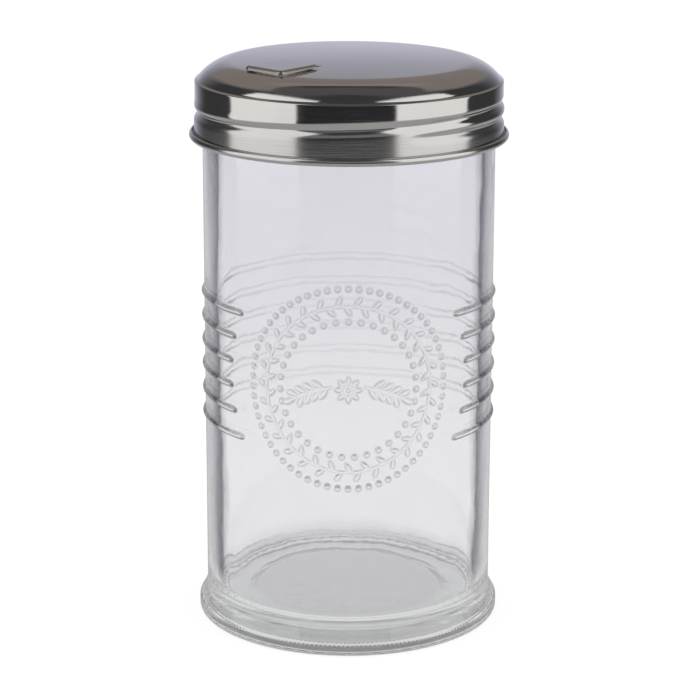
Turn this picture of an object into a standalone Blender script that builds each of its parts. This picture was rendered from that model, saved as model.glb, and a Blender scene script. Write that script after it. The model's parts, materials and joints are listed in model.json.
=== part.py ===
"""Sugar dispenser: a ribbed glass jar, a stamped screw lid and a pouring flap hinged in the lid.

Units are metres and +Z is up. The origin is on the table, under the middle of the jar.
The bare front of the jar, where the ribs stop, faces -Y.
"""
import math

import bmesh
import bpy
from mathutils import Matrix, Vector

# Clearances and rounding
SEAT_GAP = 0.0003
RUNNING_GAP = 0.0002
JOIN_INSET = 0.00004
CUT_OVERRUN = 0.001
WELD_DISTANCE = 0.00001
ROUND_STEPS = 64
SMALL_ROUND_STEPS = 24
FILLET_STEP_ANGLE = math.radians(30.0)
SHARP_EDGE_ANGLE = math.radians(35.0)

# Jar: body and mouth
BODY_RADIUS = 0.03465
BODY_HEIGHT = 0.1166
GLASS_WALL = 0.0028
SHOULDER_STEP = 0.00045
SHOULDER_HEIGHT = 0.0018
SHOULDER_FILLET = 0.0012
NECK_WALL = 0.0031
MOUTH_FILLET = 0.0012

# Jar: foot, floor and underside
FOOT_FLARE = 0.00195
FOOT_BAND_HEIGHT = 0.0026
FOOT_HEIGHT = 0.0065
FOOT_TOP_FILLET = 0.0045
FOOT_CREST_FILLET = 0.0009
FOOT_EDGE_FILLET = 0.0009
FLOOR_EDGE_HEIGHT = 0.0068
FLOOR_CROWN = 0.0009
FLOOR_FILLET = 0.0032
STAND_WIDTH = 0.0042
STAND_DEPTH = 0.0009
STAND_SLOPE_WIDTH = 0.0008
BASE_RING_WIDTH = 0.0067
BASE_DISC_DEPTH = 0.0006
BASE_DISC_SLOPE_WIDTH = 0.0006
FLOOR_STEPS = 3

# Jar: the six ribs and the round bare field in front
RIB_COUNT = 6
RIB_PITCH = 0.0060
RIB_MIDDLE_HEIGHT = 0.0654
RIB_STAND = 0.0007
RIB_TUBE_RADIUS = 0.00130
RIB_NOSE_LENGTH = 0.0018
BARE_FIELD_RADIUS = 0.0306
RIB_NOSE_POINTS = 4
RIB_SIDE_RESOLUTION = 3

# Lid: its sheet, and its outer face from the curl at the bottom up to the dome
LID_SHEET = 0.0006
CURL_LIFT = 0.0024
CURL_HOLLOW_RADIUS = 0.00035
CURL_SWEEP = math.radians(255.0)
SKIRT_CLEARANCE = 0.0018
SKIRT_HEIGHT = 0.0052
THREAD_HEIGHT = 0.0032
BAND_CLEARANCE = 0.00155
BAND_HEIGHT = 0.00377
LEDGE_WIDTH = 0.000565
LEDGE_DROP = 0.00015
LEDGE_FILLET = 0.0004
LID_SHOULDER_RADIUS = 0.0105
LID_SHOULDER_END = math.radians(54.0)
DOME_RADIUS = 0.52
DOME_STEPS = 4
LID_SHOULDER_STEPS = 5
CURL_STEPS = 6

# Pouring opening and hinge, in the hinge's own frame: +X towards the lid's edge, Y along the pin
FLAP_BEARING = math.radians(44.0)
FLAP_TILT = math.radians(1.0)
HINGE_INSET = 0.02115
HINGE_DEPTH = 0.00165
PIN_RADIUS = 0.0006
PIN_OVERHANG = 0.0005
PIN_CHAMFER = 0.00012
OPENING_WIDTH = 0.0094
OPENING_CORNER_RADIUS = 0.0008
EAR_EDGE = 0.0008

# Flap
FLAP_SHEET = 0.0005
FLAP_STAND = 0.00086
FLAP_SIDE_OVERLAP = 0.00155
FLAP_LIP_DISTANCE = 0.0134
FLAP_EDGE_RADIUS = 0.0010
FLAP_CORNER_RADIUS = 0.0020
FLAP_EDGE_SEGMENTS = 3
FLAP_LEDGE = 0.0009
TONGUE_BEND_RADIUS = 0.0006
TONGUE_ROOT_LENGTH = 0.0012
TONGUE_BEND_STEPS = 4

# Radii of the jar that follow from those above
NECK_RADIUS = BODY_RADIUS - SHOULDER_STEP
FOOT_RADIUS = BODY_RADIUS + FOOT_FLARE
STAND_OUTER_RADIUS = FOOT_RADIUS - FOOT_EDGE_FILLET
STAND_INNER_RADIUS = STAND_OUTER_RADIUS - STAND_WIDTH
BASE_DISC_RADIUS = STAND_INNER_RADIUS - STAND_SLOPE_WIDTH - BASE_RING_WIDTH

# The lid's outer face: its radii clear the neck, and its heights stack up from the jar's shoulder
SKIRT_RADIUS = NECK_RADIUS + SKIRT_CLEARANCE + LID_SHEET
BAND_RADIUS = NECK_RADIUS + BAND_CLEARANCE + LID_SHEET
CURL_MIDDLE_HEIGHT = BODY_HEIGHT + CURL_LIFT
SKIRT_TOP = CURL_MIDDLE_HEIGHT + SKIRT_HEIGHT
BAND_BOTTOM = SKIRT_TOP + THREAD_HEIGHT
LEDGE_HEIGHT = BAND_BOTTOM + BAND_HEIGHT
LID_SHOULDER_OUT = BAND_RADIUS - LEDGE_WIDTH - LID_SHOULDER_RADIUS * math.sin(LID_SHOULDER_END)
LID_SHOULDER_UP = LEDGE_HEIGHT + LEDGE_DROP - LID_SHOULDER_RADIUS * math.cos(LID_SHOULDER_END)
LID_SHOULDER_START = math.asin(LID_SHOULDER_OUT / (DOME_RADIUS - LID_SHOULDER_RADIUS))
DOME_MIDDLE = LID_SHOULDER_UP - (DOME_RADIUS - LID_SHOULDER_RADIUS) * math.cos(LID_SHOULDER_START)

# Sizes of the hinge and flap that follow
HINGE_DISTANCE = BAND_RADIUS - HINGE_INSET
BORE_RADIUS = PIN_RADIUS + RUNNING_GAP
KNUCKLE_RADIUS = BORE_RADIUS + FLAP_SHEET
KNUCKLE_LENGTH = OPENING_WIDTH - 2 * SEAT_GAP
EAR_RADIUS = BORE_RADIUS + EAR_EDGE
EAR_SPACING = OPENING_WIDTH + RUNNING_GAP
PIN_LENGTH = EAR_SPACING + 2 * (LID_SHEET + PIN_OVERHANG)
FLAP_WIDTH = OPENING_WIDTH + 2 * FLAP_SIDE_OVERLAP
FLAP_TOP = HINGE_DEPTH + FLAP_STAND
TONGUE_X = KNUCKLE_RADIUS - FLAP_SHEET / 2
PLATE_START = TONGUE_X + TONGUE_BEND_RADIUS
OPENING_START = -KNUCKLE_RADIUS - SEAT_GAP
OPENING_END = FLAP_LIP_DISTANCE - FLAP_SHEET - FLAP_LEDGE

STEEL = ("polished_steel", (0.56, 0.55, 0.57, 1.0), 1.0, 0.18, 0.0)
FLAP_STEEL = ("flap_steel", (0.60, 0.59, 0.62, 1.0), 1.0, 0.22, 0.0)
PIN_STEEL = ("pin_steel", (0.45, 0.45, 0.47, 1.0), 1.0, 0.30, 0.0)
GLASS = ("clear_glass", (0.90, 0.94, 0.93, 1.0), 0.0, 0.05, 0.9)


def clear_scene():
    for thing in list(bpy.data.objects):
        bpy.data.objects.remove(thing, do_unlink=True)


def new_collection(name):
    collection = bpy.data.collections.new(name)
    bpy.context.scene.collection.children.link(collection)
    return collection


def make_material(recipe):
    name, colour, metallic, roughness, transmission = recipe
    material = bpy.data.materials.new(name)
    material.use_nodes = True
    shader = material.node_tree.nodes["Principled BSDF"]
    shader.inputs["Base Color"].default_value = colour
    shader.inputs["Metallic"].default_value = metallic
    shader.inputs["Roughness"].default_value = roughness
    shader.inputs["Transmission Weight"].default_value = transmission
    material.diffuse_color = colour
    return material


def add_object(name, mesh, collection, recipe=None):
    thing = bpy.data.objects.new(name, mesh)
    collection.objects.link(thing)
    if recipe is None:
        thing.hide_render = True
        thing.display_type = "WIRE"
    else:
        mesh.materials.append(make_material(recipe))
    return thing


def add_empty(name, collection):
    thing = bpy.data.objects.new(name, None)
    collection.objects.link(thing)
    return thing


def arc(centre, radius, start, end, steps):
    """Points (r, z) of an arc, with angles measured from straight up towards the outside."""
    points = []
    for step in range(steps + 1):
        angle = start + (end - start) * step / steps
        points.append((centre[0] + radius * math.sin(angle), centre[1] + radius * math.cos(angle)))
    return points


def rounded(corners):
    """Turn corners (x, y, fillet radius) into points, each fillet an arc tangent to both sides."""
    points = []
    last = len(corners) - 1
    for index, (x, y, radius) in enumerate(corners):
        here = Vector((x, y))
        if radius <= 0 or index in (0, last):
            points.append((x, y))
            continue
        back = (Vector(corners[index - 1][:2]) - here).normalized()
        ahead = (Vector(corners[index + 1][:2]) - here).normalized()
        half = back.angle(ahead) / 2
        centre = here + (back + ahead).normalized() * radius / math.sin(half)
        first = here + back * radius / math.tan(half) - centre
        turn = math.pi - 2 * half
        steps = max(1, round(turn / FILLET_STEP_ANGLE))
        if back.x * ahead.y - back.y * ahead.x > 0:
            turn = -turn
        for step in range(steps + 1):
            spoke = Matrix.Rotation(turn * step / steps, 2) @ first
            points.append((centre.x + spoke.x, centre.y + spoke.y))
    return points


def polyline_mesh(name, points):
    mesh = bpy.data.meshes.new(name)
    edges = [(index, index + 1) for index in range(len(points) - 1)]
    mesh.from_pydata([(x, 0.0, z) for x, z in points], edges, [])
    return mesh


def turned(name, outline, collection, recipe=None):
    """Spin an outline of (r, z) points round Z; it runs down the outer side of the solid."""
    thing = add_object(name, polyline_mesh(name, outline), collection, recipe)
    screw = thing.modifiers.new("Turn", "SCREW")
    screw.axis = "Z"
    screw.angle = 2 * math.pi
    screw.steps = ROUND_STEPS
    screw.render_steps = ROUND_STEPS
    screw.use_merge_vertices = True
    screw.merge_threshold = WELD_DISTANCE
    screw.use_smooth_shade = True
    return thing


def solidify(thing, thickness, offset):
    shell = thing.modifiers.new("Sheet", "SOLIDIFY")
    shell.thickness = thickness
    shell.offset = offset
    shell.use_even_offset = True
    return shell


def combine(thing, other, operation):
    boolean = thing.modifiers.new(operation.title() + " " + other.name, "BOOLEAN")
    boolean.operation = operation
    boolean.solver = "EXACT"
    boolean.object = other
    return boolean


def mesh_from_curve(name, curve, collection):
    """Turn a curve into a mesh with welded caps, and remove the curve's own object."""
    guide = bpy.data.objects.new(name + "_guide", curve)
    collection.objects.link(guide)
    bpy.context.view_layer.update()
    mesh = bpy.data.meshes.new_from_object(guide.evaluated_get(bpy.context.evaluated_depsgraph_get()))
    bpy.data.objects.remove(guide, do_unlink=True)
    mesh.name = name
    bm = bmesh.new()
    bm.from_mesh(mesh)
    bmesh.ops.remove_doubles(bm, verts=bm.verts, dist=WELD_DISTANCE)
    bmesh.ops.recalc_face_normals(bm, faces=bm.faces)
    bm.to_mesh(mesh)
    bm.free()
    return mesh


def flat_plate(name, outlines, thickness, collection):
    """A plate in the XY plane from closed outlines; an outline inside another is a hole."""
    curve = bpy.data.curves.new(name, "CURVE")
    curve.dimensions = "2D"
    curve.fill_mode = "BOTH"
    curve.extrude = thickness / 2
    for outline in outlines:
        spline = curve.splines.new("POLY")
        spline.points.add(len(outline) - 1)
        for point, (x, y) in zip(spline.points, outline):
            point.co = (x, y, 0.0, 1.0)
        spline.use_cyclic_u = True
    return mesh_from_curve(name, curve, collection)


def round_bar(name, radius, length, collection, recipe=None):
    """A cylinder that lies along Y, with its middle at the origin."""
    mesh = bpy.data.meshes.new(name)
    bm = bmesh.new()
    bmesh.ops.create_cone(
        bm, cap_ends=True, segments=SMALL_ROUND_STEPS, radius1=radius, radius2=radius, depth=length
    )
    bmesh.ops.rotate(bm, verts=bm.verts, cent=(0, 0, 0), matrix=Matrix.Rotation(math.pi / 2, 3, "X"))
    bm.to_mesh(mesh)
    bm.free()
    return add_object(name, mesh, collection, recipe)


def smooth(thing):
    thing.data.shade_smooth()
    thing.data.set_sharp_from_angle(angle=SHARP_EDGE_ANGLE)


def dome_height(distance):
    """Height of the dome's outer face at a distance from the lid's middle."""
    return DOME_MIDDLE + math.sqrt(DOME_RADIUS ** 2 - distance ** 2)


def dome_outline(offset):
    """The dome and its shoulder, from the middle outwards, moved out by an offset."""
    dome = arc((0.0, DOME_MIDDLE), DOME_RADIUS + offset, 0.0, LID_SHOULDER_START, DOME_STEPS)
    shoulder = arc(
        (LID_SHOULDER_OUT, LID_SHOULDER_UP), LID_SHOULDER_RADIUS + offset,
        LID_SHOULDER_START, LID_SHOULDER_END, LID_SHOULDER_STEPS,
    )
    return dome + shoulder[1:]


def mouth_top():
    """The jar's rounded rim meets the inside of the lid's shoulder with the seat gap."""
    reach = LID_SHOULDER_RADIUS - LID_SHEET - SEAT_GAP - MOUTH_FILLET
    sideways = NECK_RADIUS - MOUTH_FILLET - LID_SHOULDER_OUT
    return LID_SHOULDER_UP + math.sqrt(reach ** 2 - sideways ** 2) + MOUTH_FILLET


def crown(radius, rise, height):
    """A shallow dome from the middle out to a radius, where it comes down to a height."""
    curve = (radius ** 2 + rise ** 2) / (2 * rise)
    return arc((0.0, height + rise - curve), curve, 0.0, math.asin(radius / curve), FLOOR_STEPS)


def jar_outline():
    """From the middle of the floor, up the inside, over the rim and down to the underside."""
    inner = BODY_RADIUS - GLASS_WALL
    mouth = NECK_RADIUS - NECK_WALL
    shoulder_top = BODY_HEIGHT + SHOULDER_HEIGHT
    top = mouth_top()
    return crown(BASE_DISC_RADIUS, FLOOR_CROWN, FLOOR_EDGE_HEIGHT) + rounded([
        (inner - FLOOR_FILLET, FLOOR_EDGE_HEIGHT, 0.0),
        (inner, FLOOR_EDGE_HEIGHT, FLOOR_FILLET),
        (inner, BODY_HEIGHT, SHOULDER_FILLET),
        (mouth, shoulder_top, SHOULDER_FILLET),
        (mouth, top, MOUTH_FILLET),
        (NECK_RADIUS, top, MOUTH_FILLET),
        (NECK_RADIUS, shoulder_top, SHOULDER_FILLET),
        (BODY_RADIUS, BODY_HEIGHT, SHOULDER_FILLET),
        (BODY_RADIUS, FOOT_HEIGHT, FOOT_TOP_FILLET),
        (FOOT_RADIUS, FOOT_BAND_HEIGHT, FOOT_CREST_FILLET),
        (FOOT_RADIUS, 0.0, FOOT_EDGE_FILLET),
        (STAND_INNER_RADIUS, 0.0, 0.0),
        (STAND_INNER_RADIUS - STAND_SLOPE_WIDTH, STAND_DEPTH, 0.0),
        (BASE_DISC_RADIUS, STAND_DEPTH, 0.0),
        (BASE_DISC_RADIUS - BASE_DISC_SLOPE_WIDTH, STAND_DEPTH + BASE_DISC_DEPTH, 0.0),
        (0.0, STAND_DEPTH + BASE_DISC_DEPTH, 0.0),
    ])


def rib_path(height):
    """Points (x, y, z, share of the tube's radius) round the back, from nose to nose."""
    radius = BODY_RADIUS + RIB_STAND - RIB_TUBE_RADIUS
    rise = height - RIB_MIDDLE_HEIGHT
    start = math.sqrt(BARE_FIELD_RADIUS ** 2 - rise ** 2) / BODY_RADIUS
    nose = RIB_NOSE_LENGTH / BODY_RADIUS
    bulge = []
    for step in range(RIB_NOSE_POINTS):
        share = step / RIB_NOSE_POINTS
        bulge.append((start + nose * share ** 2, math.sqrt(1 - (1 - share ** 2) ** 2)))
    facet = 2 * math.pi / ROUND_STEPS
    first = math.ceil((start + nose) / facet)
    body = [(facet * step, 1.0) for step in range(first, ROUND_STEPS - first + 1)]
    ending = [(2 * math.pi - angle, share) for angle, share in reversed(bulge)]
    points = []
    for angle, share in bulge + body + ending:
        points.append((radius * math.sin(angle), -radius * math.cos(angle), height, share))
    return points


def make_ribs(tools):
    """The six ribs as one set of tubes, sunk in the wall so that their outer part shows."""
    curve = bpy.data.curves.new("ribs", "CURVE")
    curve.dimensions = "3D"
    curve.bevel_depth = RIB_TUBE_RADIUS
    curve.bevel_resolution = RIB_SIDE_RESOLUTION
    curve.use_fill_caps = True
    for index in range(RIB_COUNT):
        height = RIB_MIDDLE_HEIGHT + (index - (RIB_COUNT - 1) / 2) * RIB_PITCH
        path = rib_path(height)
        spline = curve.splines.new("POLY")
        spline.points.add(len(path) - 1)
        for point, (x, y, z, share) in zip(spline.points, path):
            point.co = (x, y, z, 1.0)
            point.radius = share
    return add_object("ribs", mesh_from_curve("ribs", curve, tools), tools)


def make_jar(parts, tools):
    jar = turned("glass_jar", jar_outline(), parts, GLASS)
    combine(jar, make_ribs(tools), "UNION")
    return jar


def lid_outline():
    """The outer face of the sheet, from the middle of the dome down and round the curl."""
    dome = dome_outline(0.0)
    wall = rounded([
        (*dome[-1], 0.0),
        (BAND_RADIUS, LEDGE_HEIGHT, LEDGE_FILLET),
        (BAND_RADIUS, BAND_BOTTOM, 0.0),
        (SKIRT_RADIUS, SKIRT_TOP, 0.0),
        (SKIRT_RADIUS, CURL_MIDDLE_HEIGHT, 0.0),
    ])
    curl = arc(
        (SKIRT_RADIUS + CURL_HOLLOW_RADIUS, CURL_MIDDLE_HEIGHT), CURL_HOLLOW_RADIUS,
        -math.pi / 2, -math.pi / 2 - CURL_SWEEP, CURL_STEPS,
    )
    return dome + wall[1:] + curl[1:]


def make_hinge_frame(parts):
    """An empty on the pin's middle: +X points down the dome to the lid's edge, Y along the pin."""
    frame = add_empty("hinge_frame", parts)
    heading = -math.pi / 2 - FLAP_BEARING
    frame.location = (
        HINGE_DISTANCE * math.cos(heading),
        HINGE_DISTANCE * math.sin(heading),
        dome_height(HINGE_DISTANCE) - HINGE_DEPTH,
    )
    frame.rotation_euler = (0.0, FLAP_TILT, heading)
    return frame


def circle(radius, steps):
    return [(x, y) for x, y in arc((0.0, 0.0), radius, 0.0, 2 * math.pi, steps)[:-1]]


def make_ear(side, hinge, tools):
    """One ear, bent down from the sheet beside the opening, with a hole for the pin."""
    top = HINGE_DEPTH - LID_SHEET / 2
    outline = [(EAR_RADIUS, top)]
    outline += arc((0.0, 0.0), EAR_RADIUS, math.pi / 2, 3 * math.pi / 2, SMALL_ROUND_STEPS // 2)
    outline += [(-EAR_RADIUS, top)]
    name = "ear_front" if side < 0 else "ear_back"
    mesh = flat_plate(name, [outline, circle(BORE_RADIUS, SMALL_ROUND_STEPS)], LID_SHEET, tools)
    mesh.transform(Matrix.Rotation(math.pi / 2, 4, "X"))
    ear = add_object(name, mesh, tools)
    ear.parent = hinge
    ear.location = (0.0, side * (EAR_SPACING + LID_SHEET) / 2, 0.0)
    return ear


def make_opening_cutter(hinge, tools):
    """A prism with rounded corners that cuts the pouring opening through the dome."""
    half = OPENING_WIDTH / 2
    middle = (OPENING_START + OPENING_END) / 2
    radius = OPENING_CORNER_RADIUS
    outline = rounded([
        (middle, -half, 0.0),
        (OPENING_END, -half, radius),
        (OPENING_END, half, radius),
        (OPENING_START, half, radius),
        (OPENING_START, -half, radius),
        (middle, -half, 0.0),
    ])[:-1]
    depth = 2 * (HINGE_DEPTH + LID_SHEET) + 2 * CUT_OVERRUN
    cutter = add_object("opening_cutter", flat_plate("opening_cutter", [outline], depth, tools), tools)
    cutter.parent = hinge
    cutter.location = (0.0, 0.0, HINGE_DEPTH - LID_SHEET)
    return cutter


def make_lid(hinge, parts, tools):
    lid = turned("lid_shell", lid_outline(), parts, STEEL)
    solidify(lid, LID_SHEET, -1.0)
    combine(lid, make_opening_cutter(hinge, tools), "DIFFERENCE")
    for side in (-1, 1):
        combine(lid, make_ear(side, hinge, tools), "UNION")
    return lid


def make_pin(hinge, parts):
    pin = round_bar("hinge_pin", PIN_RADIUS, PIN_LENGTH, parts, PIN_STEEL)
    pin.parent = hinge
    ends = pin.modifiers.new("Rounded ends", "BEVEL")
    ends.width = PIN_CHAMFER
    ends.segments = 1
    ends.limit_method = "ANGLE"
    ends.angle_limit = SHARP_EDGE_ANGLE
    smooth(pin)
    return pin


def make_dome_clearance(tools):
    """The space under the flap's rims: the dome's outer face raised by the seat gap."""
    outline = dome_outline(SEAT_GAP)
    floor = outline[-1][1]
    return turned("dome_clearance", outline + [(0.0, floor)], tools)


def make_tongue(hinge, tools):
    """The strip that bends down from the plate, through the opening, to the knuckle."""
    plate_middle = FLAP_TOP - FLAP_SHEET / 2
    bend = arc(
        (PLATE_START, plate_middle - TONGUE_BEND_RADIUS), TONGUE_BEND_RADIUS,
        0.0, -math.pi / 2, TONGUE_BEND_STEPS,
    )
    line = [(PLATE_START + TONGUE_ROOT_LENGTH, plate_middle)] + bend + [(TONGUE_X, 0.0)]
    mesh = polyline_mesh("tongue", line)
    width = KNUCKLE_LENGTH - 2 * JOIN_INSET
    bm = bmesh.new()
    bm.from_mesh(mesh)
    strip = bmesh.ops.extrude_edge_only(bm, edges=bm.edges)
    added = [item for item in strip["geom"] if isinstance(item, bmesh.types.BMVert)]
    bmesh.ops.translate(bm, verts=added, vec=(0.0, width, 0.0))
    bmesh.ops.translate(bm, verts=bm.verts, vec=(0.0, -width / 2, 0.0))
    bm.to_mesh(mesh)
    bm.free()
    tongue = add_object("tongue", mesh, tools)
    tongue.parent = hinge
    solidify(tongue, FLAP_SHEET - 2 * JOIN_INSET, 0.0)
    return tongue


def make_cap(name, collection, recipe):
    """The flap's plate with rims bent down on three sides, before it is trimmed to the dome."""
    half = FLAP_WIDTH / 2
    corners = []
    for z in (0.0, FLAP_TOP):
        for x in (PLATE_START, FLAP_LIP_DISTANCE):
            corners += [(x, -half, z), (x, half, z)]
    plate, lip, side_front, side_back = (4, 6, 7, 5), (2, 3, 7, 6), (0, 2, 6, 4), (1, 5, 7, 3)
    mesh = bpy.data.meshes.new(name)
    mesh.from_pydata(corners, [], [plate, lip, side_front, side_back])
    bm = bmesh.new()
    bm.from_mesh(mesh)
    weight = bm.edges.layers.float.new("bevel_weight_edge")
    for edge in bm.edges:
        if not edge.is_boundary:
            upright = abs(edge.verts[0].co.z - edge.verts[1].co.z) > FLAP_SHEET
            edge[weight] = 1.0 if upright else FLAP_EDGE_RADIUS / FLAP_CORNER_RADIUS
    bm.to_mesh(mesh)
    bm.free()
    cap = add_object(name, mesh, collection, recipe)
    bends = cap.modifiers.new("Bends", "BEVEL")
    bends.width = FLAP_CORNER_RADIUS
    bends.segments = FLAP_EDGE_SEGMENTS
    bends.limit_method = "WEIGHT"
    solidify(cap, FLAP_SHEET, -1.0)
    return cap


def make_flap(hinge, parts, tools):
    flap = make_cap("flap", parts, FLAP_STEEL)
    flap.parent = hinge
    combine(flap, make_dome_clearance(tools), "DIFFERENCE")
    knuckle = round_bar("knuckle", KNUCKLE_RADIUS, KNUCKLE_LENGTH, tools)
    knuckle.parent = hinge
    combine(flap, make_tongue(hinge, tools), "UNION")
    combine(flap, knuckle, "UNION")
    bore = round_bar("bore_cutter", BORE_RADIUS, KNUCKLE_LENGTH + 2 * CUT_OVERRUN, tools)
    bore.parent = hinge
    combine(flap, bore, "DIFFERENCE")
    return flap


def main():
    clear_scene()
    parts = new_collection("sugar_dispenser")
    tools = new_collection("cutters")
    hinge = make_hinge_frame(parts)
    make_jar(parts, tools)
    make_lid(hinge, parts, tools)
    make_pin(hinge, parts)
    make_flap(hinge, parts, tools)
    bpy.context.view_layer.update()


main()
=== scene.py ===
import json
import math

import bmesh
import bpy
import numpy as np
from mathutils import Matrix, Vector

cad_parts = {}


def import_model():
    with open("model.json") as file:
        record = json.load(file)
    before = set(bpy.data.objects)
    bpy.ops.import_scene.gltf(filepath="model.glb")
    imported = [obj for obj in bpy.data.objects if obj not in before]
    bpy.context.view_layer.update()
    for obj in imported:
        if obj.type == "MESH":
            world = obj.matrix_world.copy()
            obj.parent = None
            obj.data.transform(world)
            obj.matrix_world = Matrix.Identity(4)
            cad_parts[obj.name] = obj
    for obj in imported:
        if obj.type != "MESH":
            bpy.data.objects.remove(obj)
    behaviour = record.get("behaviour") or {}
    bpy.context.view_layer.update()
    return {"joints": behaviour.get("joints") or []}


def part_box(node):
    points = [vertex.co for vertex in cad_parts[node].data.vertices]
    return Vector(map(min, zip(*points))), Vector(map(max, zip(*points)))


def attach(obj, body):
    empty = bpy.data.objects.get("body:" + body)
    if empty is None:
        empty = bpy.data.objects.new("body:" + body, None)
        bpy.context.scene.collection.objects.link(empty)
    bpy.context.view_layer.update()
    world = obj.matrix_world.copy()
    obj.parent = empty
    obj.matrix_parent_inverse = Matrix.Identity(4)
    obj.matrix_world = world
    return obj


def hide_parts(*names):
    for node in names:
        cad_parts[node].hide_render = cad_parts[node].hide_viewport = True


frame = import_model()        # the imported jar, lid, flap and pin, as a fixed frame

# Sugar dispenser: a ribbed pressed glass jar, a polished steel screw lid and its pouring flap.
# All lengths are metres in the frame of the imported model. Bearings are measured round the jar
# from its bare front (-Y) towards +X.

# Jar: walls and mouth
BODY_RADIUS = 0.03465
GLASS_WALL = 0.0028
INNER_RADIUS = BODY_RADIUS - GLASS_WALL
NECK_RADIUS = 0.0342
MOUTH_RADIUS = 0.0311
SHOULDER_BOTTOM = 0.1166
SHOULDER_TOP = 0.1184
SHOULDER_FILLET = 0.0016
RIM_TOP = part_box("glass_jar")[1].z
RIM_FILLET = 0.0013

# Jar: foot and floor
FOOT_RADIUS = 0.0366
FOOT_BAND_TOP = 0.0026
FOOT_COVE_TOP = 0.0065
FLOOR_EDGE = 0.0068
FLOOR_RISE = 0.0009
FLOOR_FILLET = 0.0032
STAND_INNER_RADIUS = 0.0315
STAND_HOLLOW = 0.0009
BASE_DISC_RADIUS = 0.0240
BASE_DISC_HOLLOW = 0.0015
KNURL_COUNT = 60
KNURL_DEPTH = 0.00018
KNURL_REACH = 0.0021
STIPPLE_COUNT = 216
STIPPLE_HEIGHT = 0.0030
STIPPLE_REACH = 0.00042
STIPPLE_STAND = 0.00012

# Jar: fillets and margins of its outline
POLE_RADIUS = 0.0004
POLE_ANGLE = 0.02
DISC_STEP_INSIDE = 0.0016
DISC_STEP_OUTSIDE = 0.0010
DISC_STEP_FILLET = 0.0030
STAND_SLOPE = 0.0008
STAND_SLOPE_FILLET = 0.0010
STAND_FILLET = 0.0007
STAND_MARGIN = 0.0006
FOOT_MARGIN = 0.0012
FOOT_EDGE_FILLET = 0.0010
FOOT_BAND_FILLET = 0.0011
FOOT_COVE_FILLET = 0.0045
WALL_START = 0.0125
NECK_MARGIN = 0.0012
RIM_MARGIN = 0.0022
THREAD_FADE = 0.0034
FLOOR_MARGIN = 0.0004

# Jar: spacing of its rings of points, and their columns, closer together within the front
# reach (degrees)
FLOOR_STEPS = 12
COARSE_SPACING = 0.0028
INSIDE_SPACING = 0.0026
FINE_SPACING = 0.0004
FOOT_SPACING = 0.0003
FRONT_REACH = 58.0
FRONT_COLUMNS = 322
BACK_COLUMNS = 399

# Jar: waves of its inner face, each with its size, number round the jar, start and climb
WALL_WAVES = [
    (0.00012, 3, 1.3, 2.1), (0.00005, 8, 0.4, -3.0), (0.00002, 17, 2.0, 5.0),
    (0.00002, 11, 0.0, 14.0),
]
WALL_WAVE_HEIGHT = 0.12
WALL_WAVE_FADE = 0.006

# Jar: ribs, bead rings (radius, beads, reach, stand), leaf garland and the flower with two
# sprigs in its middle. The sprigs' arch is a curvature, in 1/m.
RIB_COUNT = 6
RIB_PITCH = 0.0060
RIB_MIDDLE = 0.0654
RIB_STAND = 0.00064
RIB_REACH = 0.00082
RIB_NOSE_TAPER = 0.55
BACK_RIB_STAND = 0.00032
BACK_RIB_REACH = 0.00150
BACK_RIB_START = math.radians(95.0)
BACK_RIB_END = math.radians(125.0)
MOUND_POWER = 1.2
BACK_RIB_POWER = 0.8
BARE_FIELD_RADIUS = 0.0306
RELIEF_REACH = 0.0260
RELIEF_SPACING = 0.00025
MEDALLION_MIDDLE = 0.0649
OUTER_BEAD_RING = (0.0239, 62, 0.00090, 0.00050)
INNER_BEAD_RING = (0.0162, 35, 0.00092, 0.00050)
GARLAND_RADIUS = 0.0198
GARLAND_LEAVES = 30
LEAF_LENGTH = 0.0017
LEAF_WIDTH = 0.00075
LEAF_STAND = 0.00042
LEAF_OFFSET = 0.00115
LEAF_TURN = math.radians(33.0)
LEAF_ROOT_SHARE = 0.35
LEAF_POINT_SHARE = 0.5
STEM_REACH = 0.00042
STEM_STAND = 0.00022
PETALS = 8
PETAL_DISTANCE = 0.0021
PETAL_LENGTH = 0.0015
PETAL_WIDTH = 0.00085
FLOWER_EYE = 0.0009
SPRIG_LEAVES = 4
SPRIG_START = 0.0047
SPRIG_SPACING = 0.0019
SPRIG_ARCH = 45.0
SPRIG_FAN_SHARE = 1.3
SPRIG_SEAT_SHARE = 0.8
SPRIG_LEAF_LENGTH = 0.0021
SPRIG_LEAF_WIDTH = 0.0009

# Screw groove of the lid: heights and depths by bearing (degrees) over one and a third turns.
# The glass thread on the neck runs above it.
GLASS_THREAD_LIFT = 0.0019
GLASS_THREAD_SPREAD = 0.00062
GROOVE_PATH = [
    (22.0, 0.1232), (90.0, 0.1226), (180.0, 0.1229), (270.0, 0.1236), (300.0, 0.1241),
    (330.0, 0.1248), (360.0, 0.1254), (405.0, 0.1261), (450.0, 0.12645), (500.0, 0.1266),
]
GROOVE_DEPTHS = [(22.0, 0.0), (45.0, 0.0007), (90.0, 0.0009), (270.0, 0.0010), (330.0, 0.0008),
                 (450.0, 0.0007), (480.0, 0.0006), (500.0, 0.0)]
GROOVE_SPREAD = 0.00088

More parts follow.
